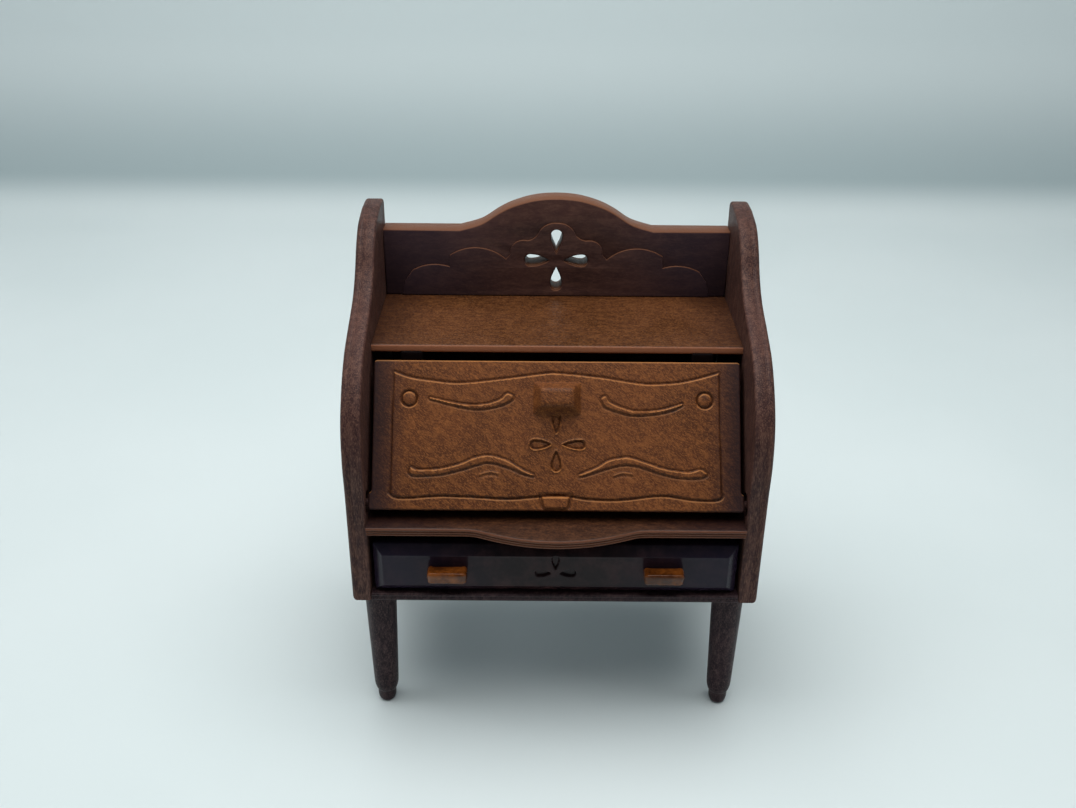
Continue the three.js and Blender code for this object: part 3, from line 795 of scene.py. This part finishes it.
def flap_relief(x, s):
    """The height of the drop front's carving above its flat face, s up from the carving's line."""
    field = depth_inside(x, s, carving_field())
    height = CARVING["field"] * smooth_step(field, -0.14, 0.1)
    height -= (0.18 + 0.1 * smooth_step(-s, 8, 10)) * soft_line(field + 0.22, 0.18)
    for leaf in carving_leaves():
        inside = depth_inside(x, s, leaf)
        height += CARVING["leaf"] * smooth_step(inside, -0.1, 0.1)
        height -= 0.16 * soft_line(inside + 0.25, 0.14)
    for sign in (-1, 1):
        away = np.hypot(x - sign * CARVED_RING["x"], s - CARVED_RING["up"])
        height -= CARVING["ring"] * soft_line(away - CARVED_RING["radius"], 0.17)
        height += CARVING["boss"] * smooth_step(1.2 - away, 0, 0.9)
    for middle in (-CRESCENT_X, CRESCENT_X):
        crescent = arc_through((middle - 1.7, -7.55), (middle, -7.05), (middle + 1.5, -7.3), 6)
        height += CARVING["crescent"] * soft_line(line_distance(x, s, crescent), 0.2)
        height -= 0.1 * soft_line(line_distance(x, s + 0.45, crescent), 0.2)
    petals = [(0.0, 2.0, 6.2, 1.6), (0.5, 1.0, 4.8, 1.75), (1.0, 1.2, 4.9, 1.75), (1.5, 1.2, 5.3, 1.65)]
    for turn, start, end, width in petals:
        angle = (turn + 0.5) * math.pi
        inside = depth_inside(x, s, petal(CARVED_FLOWER, angle, start, end, width))
        height -= CARVING["petal"] * smooth_step(inside, -0.06, 0.14)
        height -= 0.14 * soft_line(inside - 0.14, 0.14)
        height += 0.12 * soft_line(inside + 0.2, 0.14)
    tab_half = 2.5 - 0.35 * smooth_step(-s, 11.6, 13.8)
    tab = np.minimum(tab_half - np.abs(x + 0.15), -11.3 - s)
    height += CARVING["tab"] * smooth_step(tab, -0.1, 0.3)
    return height - 0.25 * soft_line(tab + 0.3, 0.25)


def from_flap(x, up, out):
    """The drop front's own x, distance up its slope and outwards, in the frame of the bureau."""
    rise, run = math.cos(FLAP_LEAN), math.sin(FLAP_LEAN)
    return np.column_stack([
        np.ravel(x),
        FLAP_FOOT[0] + np.ravel(up) * run - np.ravel(out) * rise,
        FLAP_FOOT[1] + np.ravel(up) * rise + np.ravel(out) * run,
    ])


def plate_mesh(x, y, front, back, to_frame):
    """A closed plate from a grid with a height at each place and a level back with a soft arris."""
    rows, columns = x.shape
    face = to_frame(x, y, front)
    rim = [(0, c) for c in range(columns)]
    rim += [(r, columns - 1) for r in range(1, rows)]
    rim += [(rows - 1, c) for c in range(columns - 2, -1, -1)]
    rim += [(r, 0) for r in range(rows - 2, 0, -1)]
    r, c = np.array(rim).T
    x_rim, y_rim, front_rim = x[r, c], y[r, c], front[r, c]
    centre = np.array([x.mean(), y.mean()])
    away = np.column_stack([x_rim, y_rim]) - centre
    away /= np.linalg.norm(away, axis=1)[:, None]
    soft = 0.3
    levels = [(back + soft, 0.0), (back + 0.3 * soft, 0.3 * soft), (back, soft)]
    count = len(rim)
    rings = [to_frame(x_rim, y_rim, front_rim)]
    for level, pull in levels:
        x_ring = x_rim - away[:, 0] * pull
        y_ring = y_rim - away[:, 1] * pull
        rings.append(to_frame(x_ring, y_ring, np.full(count, level)))
    vertices = np.vstack([face, *rings])
    faces = grid_faces(rows, columns)
    offset = rows * columns
    faces += [[offset + i for i in ring_face] for ring_face in grid_faces(len(rings), count, True)]
    faces.append([offset + (len(rings) - 1) * count + i for i in range(count)])
    return vertices, faces


def rounded_outline_depth(x, y, half_width, low, high, corner):
    """How far inside a rectangle with rounded corners each place lies."""
    middle, half_height = (low + high) / 2, (high - low) / 2
    across_x = np.abs(x) - (half_width - corner)
    across_y = np.abs(y - middle) - (half_height - corner)
    outside = np.hypot(np.maximum(across_x, 0), np.maximum(across_y, 0))
    return corner - outside - np.minimum(np.maximum(across_x, across_y), 0)


def pull_in(x, y, half_width, low, high, corner):
    """Moves the places beyond the rounded corners of a rectangle onto them."""
    middle, half_height = (low + high) / 2, (high - low) / 2
    core_x = np.clip(x, -(half_width - corner), half_width - corner)
    core_y = np.clip(y, middle - (half_height - corner), middle + (half_height - corner))
    dx, dy = x - core_x, y - core_y
    away = np.hypot(dx, dy)
    scale = np.where(away > corner, corner / np.maximum(away, 1e-9), 1)
    return core_x + dx * scale, core_y + dy * scale


def edge_packed(low, high, edge, fine, coarse):
    """Grid lines that are fine near both ends."""
    start = np.arange(low, low + edge, fine)
    end = high - (start - low)[::-1]
    count = int(math.ceil((high - low - 2 * edge) / coarse)) + 1
    return np.concatenate([start, np.linspace(low + edge, high - edge, count), end])


def pull_mesh():
    """The drop front's pull: a block that flares to its foot, with soft arrises."""
    shares = [0, 0.04, 0.1, 0.2, 0.35, 0.5, 0.65, 0.8, 0.9, 0.96, 0.985, 1.0, 1.0]
    quarters = ((1, 1), (-1, 1), (-1, -1), (1, -1))
    corner_turns = np.radians(np.arange(0, 90, 15))
    rings = []
    for place, share in enumerate(shares):
        shrink = 0.35 * max(0.0, (share - 0.85) / 0.15) ** 2
        if place == len(shares) - 1:
            shrink += 0.5
        flare = share ** 0.75
        half = [b + (f - b) * flare - shrink for b, f in zip(PULL["base"], PULL["face"])]
        corner = min(0.55, 0.8 * min(half))
        ring = []
        for quarter, (sx, sy) in enumerate(quarters):
            for t in corner_turns + quarter * math.pi / 2:
                x = sx * (half[0] - corner) + corner * math.cos(t)
                ring.append((x, sy * (half[1] - corner) + corner * math.sin(t)))
        x, up = np.array(ring).T
        out = PULL["height"] * share - (0.25 if share == 0 else 0)
        rings.append(from_flap(x, up + PULL["up"], np.full(len(ring), out)))
    return rings_mesh(rings)


def pin_mesh():
    """The moulded pins on which the drop front turns."""
    radius, end, arris = PIVOT["radius"], PIVOT["end"], PIVOT["arris"]
    stations = [(PIVOT["start"], radius), (end - arris, radius), (end, radius - arris)]
    meshes = []
    for sign in (-1, 1):
        meshes.append(rings_mesh([pivot_ring(sign * x, size, 32) for x, size in stations]))
    return joined(*meshes)


def make_flap():
    """The drop front with its carving, its lugs wider than the rest, and its pull and pins."""
    step = 0.16
    half, length, corner = FLAP["half_width"], FLAP["length"], FLAP["corner"]
    columns = edge_packed(-half, half, edge=0.6, fine=0.06, coarse=step)
    x, up = np.meshgrid(columns, edge_packed(0, length, edge=0.6, fine=0.06, coarse=step))
    x, up = pull_in(x, up, half, 0, length, corner)
    depth = rounded_outline_depth(x, up, half, 0, length, corner)
    front = flap_relief(x, up - CARVING_UP) * smooth_step(depth, 0, 0.8)
    front -= rounded_edge(depth, FLAP["arris"])
    lug = 1 - smooth_step(up, LUG["low"], LUG["high"])
    widen = 1 + (LUG["half_width"] / half - 1) * lug
    plate = plate_mesh(x * widen, up, front, -FLAP["thickness"], from_flap)
    make_piece("moulded_flap", plate, "drop_front", "flap_plastic", ["flap"], 50)
    pull = joined(pull_mesh(), pin_mesh())
    make_piece("moulded_pull", pull, "drop_front", "flap_plastic", [], 50, "pull_plastic")


# ---------------------------------------------------------------- the drawer

def from_drawer(x, z, out):
    """The drawer front's x, z and distance outwards, in the frame of the bureau."""
    return np.column_stack([np.ravel(x), DRAWER["edge_y"] - np.ravel(out), np.ravel(z)])


def make_drawer_front():
    """The drawer front: a bevel round a raised field, with three petals sunk in it."""
    half, low, high, corner = DRAWER["half_width"], DRAWER["low"], DRAWER["high"], DRAWER["corner"]
    rise = DRAWER["edge_y"] - DRAWER["field_y"]
    step = 0.12
    columns = edge_packed(-half, half, edge=2.2, fine=0.08, coarse=0.15)
    x, z = np.meshgrid(columns, edge_packed(low, high, edge=2.2, fine=0.08, coarse=step))
    x, z = pull_in(x, z, half, low, high, corner)
    depth = rounded_outline_depth(x, z, half, low, high, corner)
    mitre = np.minimum(half - np.abs(x), np.minimum(z - low, high - z))
    slope = np.clip(mitre / DRAWER_BEVEL, 0, None)
    lower_part = smooth_step(-z, -34, -32)
    soft = 0.07 + 0.12 * lower_part
    front = rise * (slope + 1 - np.sqrt((slope - 1) ** 2 + soft ** 2)) / 2
    front -= rounded_edge(depth, DRAWER["arris"])
    ridge = 0.05 + 0.06 * lower_part
    front += ridge * soft_line(mitre - DRAWER_BEVEL - 0.15, 0.2)
    for turn in range(3):
        shape = petal((0, DRAWER_FLOWER_Z), turn * math.pi / 2, **DRAWER_PETAL)
        front -= DRAWER_PETAL_DEPTH * smooth_step(depth_inside(x, z, shape), -0.06, 0.22)
    mesh = plate_mesh(x, z, front, -DRAWER_THICKNESS, from_drawer)
    make_piece("moulded_drawer_front", mesh, "drawer", "drawer_plastic", ["drawer_front"], 60)


def rounded_block(size, radius, cuts):
    """A block with rounded arrises: points of a finely divided cube drawn onto it."""
    work = bmesh.new()
    bmesh.ops.create_cube(work, size=2)
    bmesh.ops.subdivide_edges(work, edges=work.edges, cuts=cuts, use_grid_fill=True)
    work.verts.index_update()
    points = np.array([v.co for v in work.verts])
    faces = [[v.index for v in f.verts] for f in work.faces]
    work.free()
    half = np.array(size) / 2
    packed = np.sign(points) * np.abs(points) ** 0.55 * half
    core = np.clip(packed, -(half - radius), half - radius)
    away = packed - core
    length = np.linalg.norm(away, axis=1)[:, None]
    return core + away / np.maximum(length, 1e-9) * radius, faces


def make_handles():
    """The drawer's handles: rounded blocks undercut below, hollowed above, ridged along the front."""
    width, reach, low, high = HANDLE["width"], HANDLE["reach"], HANDLE["low"], HANDLE["high"]
    height = high - low
    for hand, sign in (("left", -1), ("right", 1)):
        points, faces = rounded_block((width, reach, height), HANDLE["round"], 23)
        x, y, z = points.T
        below = np.clip(0.5 - z / height, 0, 1)
        forward = np.clip(0.5 - y / reach, 0, 1)
        edge = soft_line(y + 0.5 * reach - 0.35, 0.3) * np.clip(z / height * 2, 0, 1)
        hollow = smooth_step(y, -0.5 * reach + 0.5, 0) * smooth_step(3.2 - np.abs(x), 0, 0.8) * (z > 0)
        points = np.column_stack([
            x * (1 - HANDLE["taper"] * below * forward) + sign * HANDLE["x"],
            y + HANDLE["undercut"] * below * forward + DRAWER["field_y"] - reach / 2 - JOINT_GAP,
            z - HANDLE["hollow"] * hollow + HANDLE["ridge"] * edge + (low + high) / 2,
        ])
        node = f"drawer_handle_{hand}"
        make_piece("moulded_" + node, (points, faces), "drawer", "handle_plastic", [node], 60)


# ---------------------------------------------------------------- stage, light and camera

def make_stage():
    """A pale floor that curves up into a backdrop."""
    section = [(-1500, 0), *arc((275, 90), 90, 270, 345, 16), (560, 900)]
    section = np.array([(y, z) for y, z in section], float)
    points = [np.column_stack([np.full(len(section), x), section]) for x in (-1600, 1600)]
    vertices = np.vstack(points) * MM
    data = bpy.data.meshes.new("floor")
    data.from_pydata(vertices.tolist(), [], grid_faces(2, len(section)))
    data.shade_smooth()
    # The paper's darker band above the floor is painted shade, its paler upper part painted light.
    data.materials.append(paper_with_painted_shade("paper", (214, 226, 228), (218, 229, 231), (162, 179, 183)))
    floor = bpy.data.objects.new("floor", data)
    bpy.context.scene.collection.objects.link(floor)


def area_light(name, place, target, size, power, colour):
    """A rectangular lamp that points at its target."""
    data = bpy.data.lights.new(name, "AREA")
    data.shape = "RECTANGLE"
    data.size, data.size_y = size
    data.energy = power
    data.color = colour
    light = bpy.data.objects.new(name, data)
    bpy.context.scene.collection.objects.link(light)
    light.location = place
    towards = Vector(target) - Vector(place)
    light.rotation_euler = towards.to_track_quat("-Z", "Y").to_euler()


def make_lights():
    middle = (0, 0, 0.05)
    area_light("overhead", (-0.015, -0.02, 0.5), (0, 0, 0), (0.5, 0.46), 2.88, (1, 0.985, 0.96))
    area_light("right", (0.6, -0.1, 0.25), middle, (0.3, 0.3), 0.34, (0.93, 0.97, 1))
    area_light("left", (-0.55, 0, 0.32), middle, (0.3, 0.3), 0.42, (0.93, 0.97, 1))
    world = bpy.data.worlds.new("room")
    bpy.context.scene.world = world
    world.use_nodes = True
    back = world.node_tree.nodes["Background"]
    back.inputs[0].default_value = (0.74, 0.86, 0.92, 1)
    back.inputs[1].default_value = 0.135


def make_camera():
    elevation, yaw, roll = (math.radians(d) for d in (27.82, 0.16, 0.53))
    share = math.cos(elevation)
    forward = Vector((math.sin(yaw) * share, math.cos(yaw) * share, -math.sin(elevation)))
    level = forward.cross(Vector((0, 0, 1))).normalized()
    upright = level.cross(forward)
    right = math.cos(roll) * level + math.sin(roll) * upright
    up = math.cos(roll) * upright - math.sin(roll) * level
    data = bpy.data.cameras.new("camera")
    data.sensor_width = 36
    data.lens = 38.32
    data.clip_start = 0.01
    camera = bpy.data.objects.new("camera", data)
    bpy.context.scene.collection.objects.link(camera)
    turn = Matrix((right, up, -forward)).transposed().to_4x4()
    camera.matrix_world = Matrix.Translation((-0.0040, -0.19485, 0.1626)) @ turn
    bpy.context.scene.camera = camera


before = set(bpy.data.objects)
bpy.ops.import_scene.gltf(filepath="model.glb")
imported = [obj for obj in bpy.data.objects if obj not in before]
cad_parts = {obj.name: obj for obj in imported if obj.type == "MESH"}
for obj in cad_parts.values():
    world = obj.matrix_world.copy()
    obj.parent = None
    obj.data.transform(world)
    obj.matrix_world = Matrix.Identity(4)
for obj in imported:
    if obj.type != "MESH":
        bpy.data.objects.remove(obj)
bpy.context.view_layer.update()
bpy.context.scene.view_settings.view_transform = "Standard"
MATERIALS = make_materials()
make_camera()
make_sides()
make_gallery()
make_top_shelf()
make_lower_shelf()
make_rail()
make_legs()
refined_copy("back_board", "moulded_back_board", "carcase", "gallery_plastic", 0.2)
make_flap()
make_drawer_front()
refined_copy("drawer_tray", "moulded_drawer_tray", "drawer", "drawer_plastic", 0.2)
make_handles()
make_stage()
make_lights()
